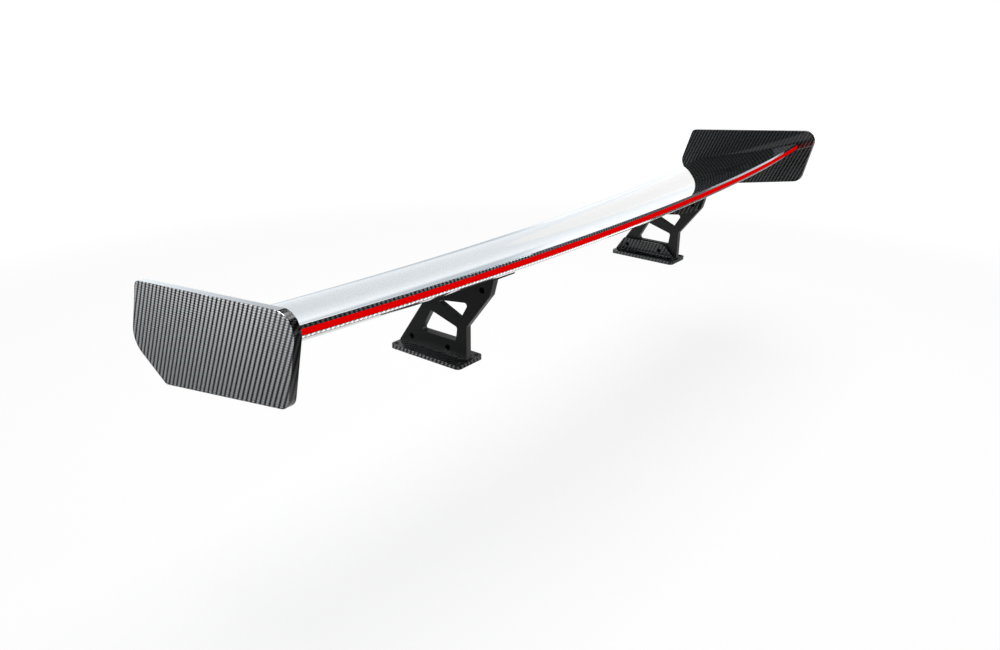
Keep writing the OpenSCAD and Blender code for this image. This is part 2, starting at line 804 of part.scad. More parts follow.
module upper_skin() {
    lip_rear = [-edge_reach, lens_high + bond];
    lip_front = lip_rear + lens_depth * edge_in;
    color(carbon)
    intersection() {
        union() {
            bowed(-half_span, half_span)
                layer(0, x_last, 1, 0, skin);
            bowed(-half_span, half_span)
                polygon(spread([
                    lip_rear,
                    lip_front,
                    [lip_front[0], layer_z(lip_front[0], 1, skin / 2)],
                    [lip_rear[0], layer_z(lip_rear[0], 1, skin / 2)]
                ]));
        }
        blade_plan();
    }
}

module lower_skin() {
    rim_rear = [-edge_reach, lens_low - bond];
    rim_front = rim_rear + lens_depth * edge_in;
    color(carbon)
    intersection() {
        difference() {
            union() {
                bowed(-half_span, half_span)
                    layer(0, x_last, -1, 0, skin);
                bowed(-half_span, half_span)
                    polygon(spread([
                        rim_rear,
                        rim_front,
                        [rim_front[0], layer_z(rim_front[0], -1, skin / 2)],
                        [rim_rear[0], layer_z(rim_rear[0], -1, skin / 2)]
                    ]));
            }
            for (side = [-1, 1], x = flange_screw_places)
                on_surface(side * flange_screw_x, x, -1)
                    cylinder(d = flange_screw_d + 2 * screw_gap, h = 2 * hardpoint_thick, center = true);
            on_surface(grommet_x, grommet_place, -1)
                cylinder(d = cable_bore + 2 * (grommet_wall + thread_fit), h = 2 * hardpoint_thick,
                    center = true);
        }
        blade_plan();
    }
}

// Everything ahead of the upright face in which the trailing edge ends.
module blade_plan() {
    translate([0, bow_y, edge_height - far])
        cylinder(r = bow_r, h = 2 * far, $fn = bow_steps);
}

module main_spar() {
    half_cap = spar_cap_width / chord / 2;
    place = spar_place / chord;
    middle = nose + spar_place * aft;
    end = half_span - end_rib_thick - bond;
    color(carbon)
    union() {
        for (side = [-1, 1])
            bowed(-end, end)
                layer(place - half_cap, place + half_cap, side, skin + bond, skin + bond + spar_wall);
        bowed(-end, end)
            intersection() {
                polygon(spread(concat(
                    layer_line(0.1, 0.6, 1, skin + bond + spar_wall / 2),
                    reversed(layer_line(0.1, 0.6, -1, skin + bond + spar_wall / 2)))));
                polygon(spread([
                    middle - spar_wall / 2 * aft - far * up,
                    middle + spar_wall / 2 * aft - far * up,
                    middle + spar_wall / 2 * aft + far * up,
                    middle - spar_wall / 2 * aft + far * up
                ]));
            }
    }
}

module rear_spar() {
    color(carbon)
    bowed(-half_span, half_span)
        intersection() {
            polygon(spread(concat(
                layer_line(0.5, x_last, 1, skin + bond),
                reversed(layer_line(0.5, x_last, -1, skin + bond)))));
            polygon(spread([
                edge_point(spar_rear, -far),
                edge_point(spar_front, -far),
                edge_point(spar_front, far),
                edge_point(spar_rear, far)
            ]));
        }
}

module led_channel() {
    rear = lens_depth + bond;
    color(alloy)
    bowed(-half_span, half_span)
        polygon(spread([
            edge_point(rear, -lens_half),
            edge_point(channel_front, -lens_half),
            edge_point(channel_front, lens_half),
            edge_point(rear, lens_half),
            edge_point(rear, lens_half - channel_wall),
            edge_point(channel_front - channel_wall, lens_half - channel_wall),
            edge_point(channel_front - channel_wall, channel_wall - lens_half),
            edge_point(rear, channel_wall - lens_half)
        ]));
}

module led_board() {
    half = lens_half - channel_wall - bond;
    color([0.9, 0.9, 0.88])
    bowed(-half_span, half_span)
        polygon(spread([
            edge_point(board_rear, -half),
            edge_point(board_front, -half),
            edge_point(board_front, half),
            edge_point(board_rear, half)
        ]));
}

module led_lamps() {
    count = floor((half_span - lamp_width) / lamp_pitch);
    color([0.95, 0.9, 0.6])
    for (i = [-count : count])
        translate([0, bow_y, 0])
            rotate([0, 0, asin(i * lamp_pitch / bow_r)])
                translate([0, lens_mid[0] - bow_y, lens_mid[1]])
                    rotate([-edge_slope, 0, 0])
                        translate([-lamp_width / 2, board_rear - lamp_depth, -lens_half / 3])
                            cube([lamp_width, lamp_depth, lens_half * 2 / 3]);
}

module led_lens() {
    color(red)
    bowed(-half_span, half_span)
        polygon(spread([
            [-edge_reach, lens_low],
            [-edge_reach, lens_high],
            edge_point(lens_depth, lens_half),
            edge_point(lens_depth, -lens_half)
        ]));
}

module cable_grommet() {
    neck = cable_bore / 2 + grommet_wall;
    rim = neck + grommet_wall;
    flare = grommet_wall * 0.7;
    color([0.08, 0.08, 0.08])
    on_surface(grommet_x, grommet_place, -1)
        rotate_extrude()
            polygon([
                [cable_bore / 2, -skin - slide_gap - flare],
                [rim, -skin - slide_gap - flare],
                [rim, -skin - slide_gap],
                [neck, -skin - slide_gap],
                [neck, slide_gap],
                [rim, slide_gap],
                [rim, slide_gap + flare],
                [cable_bore / 2, slide_gap + flare]
            ]);
}

left_foot();
right_foot();
left_upright();
right_upright();
left_foot_bolts();
right_foot_bolts();
left_foot_inserts();
right_foot_inserts();
left_clamp_screw();
right_clamp_screw();
left_clamp_washer();
right_clamp_washer();
upper_skin();
lower_skin();
main_spar();
rear_spar();
left_end_rib();
right_end_rib();
left_mount_rib();
right_mount_rib();
left_hardpoint();
right_hardpoint();
left_bracket();
right_bracket();
left_bracket_screws();
right_bracket_screws();
left_pivot_bolt();
right_pivot_bolt();
left_pivot_insert();
right_pivot_insert();
left_endplate();
right_endplate();
left_endplate_dowels();
right_endplate_dowels();
led_channel();
led_board();
led_lamps();
led_lens();
cable_grommet();
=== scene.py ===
"""Looks of a bowed carbon rear wing with end plates, uprights, feet and a red light strip.

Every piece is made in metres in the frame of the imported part: +X to the car's right,
+Y to its front, +Z up. The light strip faces -Y.
"""
import json
import math

import bmesh
import bpy
from mathutils import Matrix, Vector


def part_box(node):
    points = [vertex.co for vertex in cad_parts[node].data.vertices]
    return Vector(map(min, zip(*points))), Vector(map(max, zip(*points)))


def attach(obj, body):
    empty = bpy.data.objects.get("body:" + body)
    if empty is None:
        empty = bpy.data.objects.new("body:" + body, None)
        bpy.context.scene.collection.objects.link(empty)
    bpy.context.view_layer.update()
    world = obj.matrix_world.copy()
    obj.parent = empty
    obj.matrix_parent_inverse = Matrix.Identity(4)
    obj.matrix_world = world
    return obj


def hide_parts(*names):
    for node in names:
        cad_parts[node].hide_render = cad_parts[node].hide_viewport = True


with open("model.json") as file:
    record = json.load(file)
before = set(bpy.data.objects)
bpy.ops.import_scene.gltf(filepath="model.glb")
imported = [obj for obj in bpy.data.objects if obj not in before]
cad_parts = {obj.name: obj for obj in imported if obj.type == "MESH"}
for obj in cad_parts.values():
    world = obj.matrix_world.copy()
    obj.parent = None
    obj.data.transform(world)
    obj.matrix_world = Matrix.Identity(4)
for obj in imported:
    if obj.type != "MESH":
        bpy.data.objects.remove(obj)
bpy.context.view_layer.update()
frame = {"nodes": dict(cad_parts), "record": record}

bl_info = {
    "name": "Rear wing dresser",
    "version": (1, 0, 0),
    "blender": (4, 5, 0),
    "location": "3D View > Sidebar > Rear wing",
    "description": "Builds the finished surfaces, fasteners and stage of a carbon rear wing",
    "category": "Object",
}

MM = 0.001
SIDES = ("left", "right")
WEAVE = "Weave"
# Edges that turn by more than this angle stay crisp in the shading, in degrees
CRISP = 32
# Points closer than this are merged
MERGE = 0.001 * MM


# Values that a user would change

class BladeSizes(bpy.types.PropertyGroup):
    """Section, bow and trailing edge of the blade."""

    chord: bpy.props.FloatProperty(
        name="Chord", description="Length of the section from nose to trailing edge",
        default=250 * MM, unit="LENGTH")
    incidence: bpy.props.FloatProperty(
        name="Incidence", description="Tilt of the chord line, trailing edge up",
        default=math.radians(15.6), subtype="ANGLE")
    bow: bpy.props.FloatProperty(
        name="Bow", description="How far the ends stand ahead of the middle",
        default=48 * MM, unit="LENGTH")
    thickness: bpy.props.FloatProperty(
        name="Thickness", description="Greatest thickness of the section form, as a share of the chord",
        default=0.11, subtype="FACTOR")
    camber: bpy.props.FloatProperty(
        name="Camber", description="Depth of the camber line, as a share of the chord",
        default=0.04, subtype="FACTOR")
    camber_place: bpy.props.FloatProperty(
        name="Camber place", description="Place of the deepest camber along the chord",
        default=0.57, subtype="FACTOR")
    edge_height: bpy.props.FloatProperty(
        name="Edge height", description="Height of the trailing edge's middle over the feet",
        default=180 * MM, unit="LENGTH")
    edge_depth: bpy.props.FloatProperty(
        name="Edge depth", description="Thickness that the blunt trailing edge adds",
        default=13.4 * MM, unit="LENGTH")
    skin: bpy.props.FloatProperty(
        name="Skin", description="Thickness of each skin",
        default=2 * MM, unit="LENGTH")
    lip: bpy.props.FloatProperty(
        name="Lip", description="Height of the upper skin's lip over the light strip",
        default=4.4 * MM, unit="LENGTH")
    rim: bpy.props.FloatProperty(
        name="Rim", description="Height of the lower skin's rim under the light strip",
        default=3.2 * MM, unit="LENGTH")
    lens_depth: bpy.props.FloatProperty(
        name="Lens depth", description="Depth of the red lens, front to back",
        default=5 * MM, unit="LENGTH")
    bond: bpy.props.FloatProperty(
        name="Bond", description="Gap of the glue line round the lens",
        default=0.05 * MM, unit="LENGTH")
    edge_round: bpy.props.FloatProperty(
        name="Edge round", description="Rounding of the trailing edge's corners",
        default=0.3 * MM, unit="LENGTH")
    belly_round: bpy.props.FloatProperty(
        name="Belly round", description="Rounding of the trailing edge's lower corner",
        default=4.0 * MM, unit="LENGTH")


class EdgeSizes(bpy.types.PropertyGroup):
    """Roundings along the edges of the plates."""

    plate: bpy.props.FloatProperty(
        name="End plate", description="Rounding of the end plates' edges",
        default=0.6 * MM, unit="LENGTH")
    foot: bpy.props.FloatProperty(
        name="Foot", description="Rounding of the feet's edges",
        default=1.2 * MM, unit="LENGTH")
    upright: bpy.props.FloatProperty(
        name="Upright", description="Rounding of the uprights' edges",
        default=0.7 * MM, unit="LENGTH")
    bracket: bpy.props.FloatProperty(
        name="Bracket", description="Rounding of the brackets' edges",
        default=0.6 * MM, unit="LENGTH")


class BoltSizes(bpy.types.PropertyGroup):
    """Socket-headed bolts of the uprights."""

    head: bpy.props.FloatProperty(
        name="Head", description="Diameter of a bolt's head",
        default=8.5 * MM, unit="LENGTH")
    height: bpy.props.FloatProperty(
        name="Head height", description="Height of a bolt's head",
        default=5 * MM, unit="LENGTH")
    shank: bpy.props.FloatProperty(
        name="Shank", description="Diameter of a bolt's shank",
        default=5 * MM, unit="LENGTH")
    socket: bpy.props.FloatProperty(
        name="Socket", description="Width of a bolt's socket across its flats",
        default=4 * MM, unit="LENGTH")
    edge: bpy.props.FloatProperty(
        name="Edge", description="Rounding of a head's rim and chamfers of the socket and the tip",
        default=0.4 * MM, unit="LENGTH")
    seed: bpy.props.IntProperty(
        name="Seed", description="Sets how far each bolt is turned about its axis",
        default=7)


class WeaveSizes(bpy.types.PropertyGroup):
    """Cloth of the carbon laminate."""

    tow: bpy.props.FloatProperty(
        name="Tow", description="Width of one carbon tow",
        default=2.33 * MM, unit="LENGTH")
    blade_tow: bpy.props.FloatProperty(
        name="Tow on blade", description="Width of one carbon tow on the blade",
        default=2 * MM, unit="LENGTH")
    plate_lean: bpy.props.FloatProperty(
        name="Lean on plates", description="Lean of the twill ribs on the end plates, rearwards going up",
        default=math.radians(23.9), subtype="ANGLE")
    blade_lean: bpy.props.FloatProperty(
        name="Lean on blade", description="Lean of the twill ribs on the blade from the chord's direction",
        default=math.radians(19), subtype="ANGLE")


class CameraView(bpy.types.PropertyGroup):
    """Where the photograph was taken from."""

    place: bpy.props.FloatVectorProperty(
        name="Place", description="Place of the camera",
        default=(-1.1957, -0.8085, 0.5160), subtype="TRANSLATION")
    yaw: bpy.props.FloatProperty(
        name="Yaw", description="Heading from +X towards +Y",
        default=math.radians(38.02), subtype="ANGLE")
    pitch: bpy.props.FloatProperty(
        name="Pitch", description="Downward tilt",
        default=math.radians(21.56), subtype="ANGLE")
    roll: bpy.props.FloatProperty(
        name="Roll", description="Turn about the line of sight",
        default=math.radians(-0.389), subtype="ANGLE")
    lens: bpy.props.FloatProperty(
        name="Lens", description="Focal length in millimetres on a 36 mm wide sensor",
        default=31.83)


# Small helpers

def linear(text):
    """Turns an sRGB hex colour into linear red, green, blue and alpha."""
    parts = [int(text[i:i + 2], 16) / 255 for i in (1, 3, 5)]
    return [c / 12.92 if c <= 0.04045 else ((c + 0.055) / 1.055) ** 2.4 for c in parts] + [1.0]


def add(tree, kind, inputs=None, **settings):
    """Adds a node to a tree, with its settings, and fills its inputs with values or links."""
    made = tree.nodes.new(kind)
    for name, value in settings.items():
        setattr(made, name, value)
    for key, value in (inputs or {}).items():
        if isinstance(value, bpy.types.NodeSocket):
            tree.links.new(value, made.inputs[key])
        else:
            made.inputs[key].default_value = value
    return made


def sum_up(tree, operation, *values):
    """Chains one maths operation through two or more values and returns the last result."""
    result = values[0]
    for value in values[1:]:
        result = add(tree, "ShaderNodeMath", {0: result, 1: value}, operation=operation).outputs[0]
    return result


def new_piece(name, mesh):
    """Links a mesh as a new object at the origin."""
    piece = bpy.data.objects.new(name, mesh)
    bpy.context.scene.collection.objects.link(piece)
    return piece


def set_inputs(modifier, **values):
    """Sets a node tree's inputs on a modifier, found by name and set by identifier."""
    for item in modifier.node_group.interface.items_tree:
        key = item.name.replace(" ", "_").lower()
        if item.item_type == "SOCKET" and item.in_out == "INPUT" and key in values:
            modifier[item.identifier] = values[key]


def settle(piece):
    """Turns what a piece's modifiers make into its plain mesh and removes them."""
    bpy.context.view_layer.update()
    shown = piece.evaluated_get(bpy.context.evaluated_depsgraph_get())
    mesh = bpy.data.meshes.new_from_object(shown)
    piece.modifiers.clear()
    piece.data = mesh


def shade(mesh):
    """Shades a mesh smooth, with its sharp edges kept crisp."""
    mesh.polygons.foreach_set("use_smooth", [True] * len(mesh.polygons))
    mesh.set_sharp_from_angle(angle=math.radians(CRISP))


def dress(piece, body, slot, *nodes):
    """Hands a finished piece to its body and hides the nodes that it stands for; the slot is not used."""
    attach(piece, body)
    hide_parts(*nodes)


def values():
    """The sizes held by the scene."""
    return bpy.context.scene.rear_wing


# Materials

def new_material(name):
    """An empty node material with its output node."""
    material = bpy.data.materials.new(name)
    material.use_nodes = True
    material.node_tree.nodes.clear()
    return material, material.node_tree


def end_material(tree, shader):
    """Links a shader to a new output."""
    add(tree, "ShaderNodeOutputMaterial", {"Surface": shader.outputs[0]})


def twill(tree, tow):
    """Two-by-two twill on the weave's own map: which tow is on top, and its rounded height."""
    place = add(tree, "ShaderNodeUVMap", uv_map=WEAVE)
    turned = add(tree, "ShaderNodeMapping", {
        "Vector": place.outputs[0],
        "Rotation": (0, 0, math.radians(-45)),
        "Scale": (1 / tow, 1 / tow, 1),
    })
    split = add(tree, "ShaderNodeSeparateXYZ", {0: turned.outputs[0]})
    warp, weft = split.outputs[0], split.outputs[1]
    warp_cell = add(tree, "ShaderNodeMath", {0: warp}, operation="FLOOR").outputs[0]
    weft_cell = add(tree, "ShaderNodeMath", {0: weft}, operation="FLOOR").outputs[0]
    # The pattern repeats every four tows, two over and two under.
    step = sum_up(tree, "SUBTRACT", warp_cell, weft_cell)
    phase = sum_up(tree, "FLOORED_MODULO", step, 4.0)
    over = sum_up(tree, "LESS_THAN", phase, 1.5)
    warp_part = sum_up(tree, "SUBTRACT", warp, warp_cell)
    weft_part = sum_up(tree, "SUBTRACT", weft, weft_cell)
    across = add(tree, "ShaderNodeMix", {0: over, 2: weft_part, 3: warp_part}).outputs[0]
    middle = sum_up(tree, "SUBTRACT", across, 0.5)
    crown = sum_up(tree, "MULTIPLY", middle, middle, 4.0)
    height = sum_up(tree, "SUBTRACT", 1.0, crown)
    return over, height


def carbon_laminate():
    """Twill carbon cloth in epoxy under a polished clear coat.

    The fibres shine like dull metal. The tows on top in one direction are painted lighter than
    the others, a painted sheen that stands for tows lying across the light, and each tow is
    painted lighter at its crown than at its sides, a painted highlight and shade. The coat over
    them is flat and mirrors the studio. The specular tint keeps the fibres from whitening where
    they are seen edge-on.
    """
    material, tree = new_material("Clear-coated twill carbon")
    over, height = twill(tree, values().weave.tow)
    # Painted sheen and highlight: the tows on top in one direction get the lighter pair of colours, and each
    # tow goes from darker at its sides, a painted shade, to lighter at its crown, a painted highlight.
    light = add(tree, "ShaderNodeMix", {0: height, 6: linear("#3E3F40"), 7: linear("#6F7071")},
                data_type="RGBA")
    dark = add(tree, "ShaderNodeMix", {0: height, 6: linear("#1A1A1B"), 7: linear("#232324")},
               data_type="RGBA")
    colour = add(tree, "ShaderNodeMix", {0: over, 6: dark.outputs[2], 7: light.outputs[2]},
                 data_type="RGBA")
    shader = add(tree, "ShaderNodeBsdfPrincipled", {
        "Base Color": colour.outputs[2],
        "Metallic": 0.9,
        "Roughness": 0.42,
        "Specular IOR Level": 0.0,
        "Specular Tint": linear("#595959"),
        "Coat Weight": 1.0,
        "Coat Roughness": 0.02,
        "Coat IOR": 1.5,
    })
    end_material(tree, shader)
    return material


def plain_finish(name, dark, light, grain, roughness, metallic=0.0, **more):
    """A solid finish with a fine grain: two near colours, uneven gloss and a slight relief.

    The grain is a size in millimetres, and so is the relief's depth.
    """
    depth = 0.02
    uneven = 0.06
    material, tree = new_material(name)
    place = add(tree, "ShaderNodeTexCoord")
    noise = add(tree, "ShaderNodeTexNoise", {
        "Vector": place.outputs["Object"],
        "Scale": 1 / (grain * MM),
        "Detail": 3.0,
        "Roughness": 0.55,
    })
    colour = add(tree, "ShaderNodeMix", {0: noise.outputs[0], 6: linear(dark), 7: linear(light)},
                 data_type="RGBA")
    gloss = add(tree, "ShaderNodeMapRange", {
        "Value": noise.outputs[0], "To Min": roughness - uneven, "To Max": roughness + uneven})
    bump = add(tree, "ShaderNodeBump", {
        "Height": noise.outputs[0], "Strength": 0.35, "Distance": depth * MM})
    settings = {
        "Base Color": colour.outputs[2],
        "Metallic": metallic,
        "Roughness": gloss.outputs[0],
        "Normal": bump.outputs[0],
    }
    settings.update(more)
    shader = add(tree, "ShaderNodeBsdfPrincipled", settings)
    end_material(tree, shader)
    return material


def red_lens():
    """Red diffusing polycarbonate, lit from behind: an even red with hardly any mirror."""
    material, tree = new_material("Red diffusing polycarbonate")
    place = add(tree, "ShaderNodeTexCoord")
    noise = add(tree, "ShaderNodeTexNoise", {"Vector": place.outputs["Object"], "Scale": 1 / (3 * MM)})
    colour = add(tree, "ShaderNodeMix", {0: noise.outputs[0], 6: linear("#800000"), 7: linear("#900000")},
                 data_type="RGBA")
    shader = add(tree, "ShaderNodeBsdfPrincipled", {
        "Base Color": colour.outputs[2],
        "Roughness": 0.5,
        "Specular IOR Level": 0.0,
        "Emission Color": linear("#DC0000"),
        "Emission Strength": 0.87,
    })
    end_material(tree, shader)
    return material


def make_materials():
    """One material for each slot of the record."""
    return {
        "carbon": carbon_laminate(),
        # Bare laminate inside the blade: matt grey-black resin with a coarse print of the cloth.
        "carbon_matt": plain_finish("Bare carbon laminate", "#1A1A1B", "#262627", 2.2, 0.6),
        # Powder coat on plate aluminium: satin, with a barely seen orange peel.
        "upright_black": plain_finish("Satin black powder coat", "#2A2A29", "#2F2F2E", 0.8, 0.45,
                                      **{"Specular IOR Level": 0.4}),
        # Black oxide over machined steel: dark, a little oily.
        "black_steel": plain_finish("Black-oxide steel", "#040404", "#080808", 0.5, 0.5,
                                    **{"Specular IOR Level": 0.1}),
        # Milled aluminium: a bright grey with fine tool marks.
        "alloy": plain_finish("Machined aluminium", "#B9BBBE", "#CED0D2", 0.6, 0.32, 1.0),
        # Solder-mask lacquer on glass fibre: an even off-white.
        "board": plain_finish("White lacquered board", "#D6D6D0", "#E2E2DC", 1.5, 0.5),
        # Epoxy over phosphor: warm yellow and glossy.
        "lamp": plain_finish("Cast epoxy lamp", "#D8B85A", "#E6CC7C", 1.0, 0.25),
        "lens_red": red_lens(),
        # Moulded rubber: black and dull.
        "rubber": plain_finish("Moulded rubber", "#121212", "#1A1A1A", 0.4, 0.75),
    }


def material_of(slot):
    """The material made for a slot of the record."""
    return bpy.data.materials[bpy.context.scene["slot_" + slot]]


# Sections of the blade, as points along the car and up, in metres

class Section:
    """The blade's section at mid span, worked out from the sizes.

    A layer has a number of steps, runs past the trailing edge to be cut there, and finds its
    direction from two points a small way apart. The corners' arcs have steps of their own.
    """

    steps = 64
    run_out = 1.02
    apart = 0.0005
    corner_steps = 8
    stations = 97

    def __init__(self):
        sizes = values().blade
        self.sizes = sizes
        low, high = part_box("led_lens")
        self.half_span = high.x
        self.reach = -low.y
        slope = sizes.incidence
        self.aft = Vector((-math.cos(slope), math.sin(slope)))
        self.up = Vector((math.sin(slope), math.cos(slope)))
        self.nose = Vector((-self.reach, sizes.edge_height)) - sizes.chord * self.aft
        self.bow_radius = (self.half_span ** 2 + sizes.bow ** 2) / (2 * sizes.bow)
        self.bow_centre = self.bow_radius - self.reach
        tail_rise = math.atan(2 * sizes.camber / (1 - sizes.camber_place))
        edge_slope = sizes.incidence + tail_rise
        self.inward = Vector((math.cos(edge_slope), -math.sin(edge_slope)))
        self.rim_top = self.edge_height(-1) + sizes.rim
        self.lip_foot = self.edge_height(1) - sizes.lip

    def surface(self, x, side):
        """A point on the upper (1) or lower (-1) surface at a share of the chord."""
        sizes = self.sizes
        # Thickness of the common four-digit aerofoil family, closed at the trailing edge
        form = (0.2969 * math.sqrt(x) - 0.126 * x - 0.3516 * x ** 2
                + 0.2843 * x ** 3 - 0.1036 * x ** 4)
        half = 5 * sizes.thickness * form + x * sizes.edge_depth / (2 * sizes.chord)
        p, m = sizes.camber_place, sizes.camber
        if x < p:
            line = -m * (2 * p * x - x * x) / p ** 2
        else:
            line = -m * (1 - 2 * p + 2 * p * x - x * x) / (1 - p) ** 2
        return self.nose + sizes.chord * (x * self.aft + (line + side * half) * self.up)

    def layer(self, side, depth):
        """Points of a surface from the nose to past the trailing edge, sunk by a depth."""
        line = []
        for i in range(self.steps + 1):
            x = self.run_out * (1 - math.cos(math.pi * i / self.steps)) / 2
            inward = self.aft
            if i:
                behind, ahead = x + self.apart, max(x - self.apart, 0)
                along = self.surface(behind, side) - self.surface(ahead, side)
                inward = -side * Vector((along.y, -along.x)).normalized()
            line.append(self.surface(x, side) + depth * inward)
        return line

    def ending(self, side, depth, behind):
        """A layer's points, ended at a place along the car."""
        line = self.layer(side, depth)
        kept = [p for p in line if p.x > behind]
        last, beyond = kept[-1], line[len(kept)]
        share = (last.x - behind) / (last.x - beyond.x)
        return kept + [last.lerp(beyond, share)]

    def edge_height(self, side):
        """Height of a surface where the blade ends."""
        return self.ending(side, 0, -self.reach)[-1].y

    def skin(self, side, held, corner):
        """Upper (1) or lower (-1) skin, thickened behind to hold the light strip at a height."""
        sizes = self.sizes
        rear = Vector((-self.reach, held))
        front = rear + sizes.lens_depth * self.inward
        outer = self.ending(side, 0, -self.reach)
        inner = self.ending(side, sizes.skin, front.x)
        corners = rounded(outer[-2], outer[-1], rear, corner, self.corner_steps)
        corners += rounded(outer[-1], rear, front, sizes.edge_round)
        kept = [p for p in outer if p.x > corners[0].x]
        return kept + corners + [front] + inner[::-1]

    def lens(self):
        """Red lens between the lip and the rim."""
        sizes = self.sizes
        low = Vector((-self.reach, self.rim_top + sizes.bond))
        high = Vector((-self.reach, self.lip_foot - sizes.bond))
        inset = sizes.lens_depth * self.inward
        line = [low + inset]
        line += rounded(low + inset, low, high, sizes.edge_round / 2)
        line += rounded(low, high, high + inset, sizes.edge_round / 2)
        return line + [high + inset]


def rounded(before, corner, after, radius, steps=4):
    """Points of an arc that rounds one corner of an outline."""
    into = (before - corner).normalized()
    out = (after - corner).normalized()
    half = into.angle(out) / 2
    run = radius / math.tan(half)
    centre = corner + (into + out).normalized() * (radius / math.sin(half))
    first = (corner + into * run - centre).normalized()
    last = (corner + out * run - centre).normalized()
    return [centre + radius * first.slerp(last, i / steps) for i in range(steps + 1)]


# Node trees that make shapes

def new_tree(name, **inputs):
    """A geometry node tree with a geometry input, named inputs and a geometry output."""
    tree = bpy.data.node_groups.new(name, "GeometryNodeTree")
    tree.interface.new_socket("Geometry", in_out="OUTPUT", socket_type="NodeSocketGeometry")
    tree.interface.new_socket("Geometry", in_out="INPUT", socket_type="NodeSocketGeometry")
    for key, kind in inputs.items():
        label = key.replace("_", " ").title()
        tree.interface.new_socket(label, in_out="INPUT", socket_type="NodeSocket" + kind)
    return tree, add(tree, "NodeGroupInput")


def end_tree(tree, geometry, material):
    """Ends a tree in realised geometry with a material."""
    real = add(tree, "GeometryNodeRealizeInstances", {0: geometry})
    finish = add(tree, "GeometryNodeSetMaterial", {"Geometry": real.outputs[0], "Material": material})
    add(tree, "NodeGroupOutput", {0: finish.outputs[0]})


def bowed_sweep():
    """Tree that carries a section across the car and bows it about an upright axis.

    The section is a loop of edges in the plane X = 0, with its own length in "around".
    """
    tree, given = new_tree(
        "Bowed sweep", half_span="Float", bow_centre="Float", stations="Int", rib_lean="Float",
        cloth_scale="Float", material="Material")
    span = given.outputs["Half Span"]
    start = add(tree, "ShaderNodeCombineXYZ", {0: sum_up(tree, "MULTIPLY", span, -1.0)})
    end = add(tree, "ShaderNodeCombineXYZ", {0: span})
    line = add(tree, "GeometryNodeCurvePrimitiveLine", {0: start.outputs[0], 1: end.outputs[0]})
    path = add(tree, "GeometryNodeResampleCurve", {
        "Curve": line.outputs[0], "Count": given.outputs["Stations"]})
    place = add(tree, "GeometryNodeInputPosition")
    flat = add(tree, "ShaderNodeSeparateXYZ", {0: place.outputs[0]})
    turned = add(tree, "ShaderNodeCombineXYZ", {
        0: sum_up(tree, "MULTIPLY", flat.outputs[1], -1.0),
        1: sum_up(tree, "MULTIPLY", flat.outputs[2], -1.0),
    })
    laid = add(tree, "GeometryNodeSetPosition", {
        "Geometry": given.outputs["Geometry"], "Position": turned.outputs[0]})
    profile = add(tree, "GeometryNodeMeshToCurve", {"Mesh": laid.outputs[0]})
    swept = add(tree, "GeometryNodeCurveToMesh", {
        "Curve": path.outputs[0], "Profile Curve": profile.outputs[0], "Fill Caps": True})
    spot = add(tree, "ShaderNodeSeparateXYZ", {0: place.outputs[0]})
    across, along, height = spot.outputs
    back = sum_up(tree, "SUBTRACT", given.outputs["Bow Centre"], along)
    square = sum_up(tree, "SUBTRACT", sum_up(tree, "MULTIPLY", back, back),
                    sum_up(tree, "MULTIPLY", across, across))
    depth = add(tree, "ShaderNodeMath", {0: square}, operation="SQRT").outputs[0]
    bowed = add(tree, "ShaderNodeCombineXYZ", {
        0: across, 1: sum_up(tree, "SUBTRACT", given.outputs["Bow Centre"], depth), 2: height})
    bent = add(tree, "GeometryNodeSetPosition", {
        "Geometry": swept.outputs[0], "Position": bowed.outputs[0]})
    around = add(tree, "GeometryNodeInputNamedAttribute", {"Name": "around"}, data_type="FLOAT")
    cloth = add(tree, "ShaderNodeCombineXYZ", {0: across, 1: around.outputs["Attribute"]})
    leaning = add(tree, "ShaderNodeVectorRotate", {
        "Vector": cloth.outputs[0], "Angle": given.outputs["Rib Lean"]}, rotation_type="Z_AXIS")
    sized = add(tree, "ShaderNodeVectorMath", {
        "Vector": leaning.outputs[0], "Scale": given.outputs["Cloth Scale"]}, operation="SCALE")
    mapped = add(tree, "GeometryNodeStoreNamedAttribute", {
        "Geometry": bent.outputs[0], "Name": WEAVE, "Value": sized.outputs[0]},
        data_type="FLOAT2", domain="CORNER")
    end_tree(tree, mapped.outputs[0], given.outputs["Material"])
    return tree


def fasteners_on_points():
    """Tree that sets one fastener on each point along its "axis", turned about it at random."""
    tree, given = new_tree("Fasteners on points", fastener="Object", seed="Int", material="Material")
    shape = add(tree, "GeometryNodeObjectInfo", {"Object": given.outputs["Fastener"]})
    axis = add(tree, "GeometryNodeInputNamedAttribute", {"Name": "axis"}, data_type="FLOAT_VECTOR")
    facing = add(tree, "FunctionNodeAlignRotationToVector", {"Vector": axis.outputs["Attribute"]}, axis="Z")
    spin = add(tree, "FunctionNodeRandomValue", {
        "Min": (0, 0, 0), "Max": (0, 0, math.tau), "Seed": given.outputs["Seed"]},
        data_type="FLOAT_VECTOR")
    turned_by = add(tree, "FunctionNodeRotateRotation", {
        "Rotation": facing.outputs[0], "Rotate By": spin.outputs[0]}, rotation_space="LOCAL")
    placed = add(tree, "GeometryNodeInstanceOnPoints", {
        "Points": given.outputs["Geometry"], "Instance": shape.outputs["Geometry"],
        "Rotation": turned_by.outputs[0]})
    end_tree(tree, placed.outputs[0], given.outputs["Material"])
    return tree


def loop_mesh(name, line):
    """A closed loop of edges in the plane X = 0 that knows its own length."""
    mesh = bpy.data.meshes.new(name)
    count = len(line)
    mesh.from_pydata([(0, p.x, p.y) for p in line], [(i, (i + 1) % count) for i in range(count)], [])
    lengths = [0.0]
    for a, b in zip(line, line[1:]):
        lengths.append(lengths[-1] + (b - a).length)
    mesh.attributes.new("around", "FLOAT", "POINT").data.foreach_set("value", lengths)
    return mesh


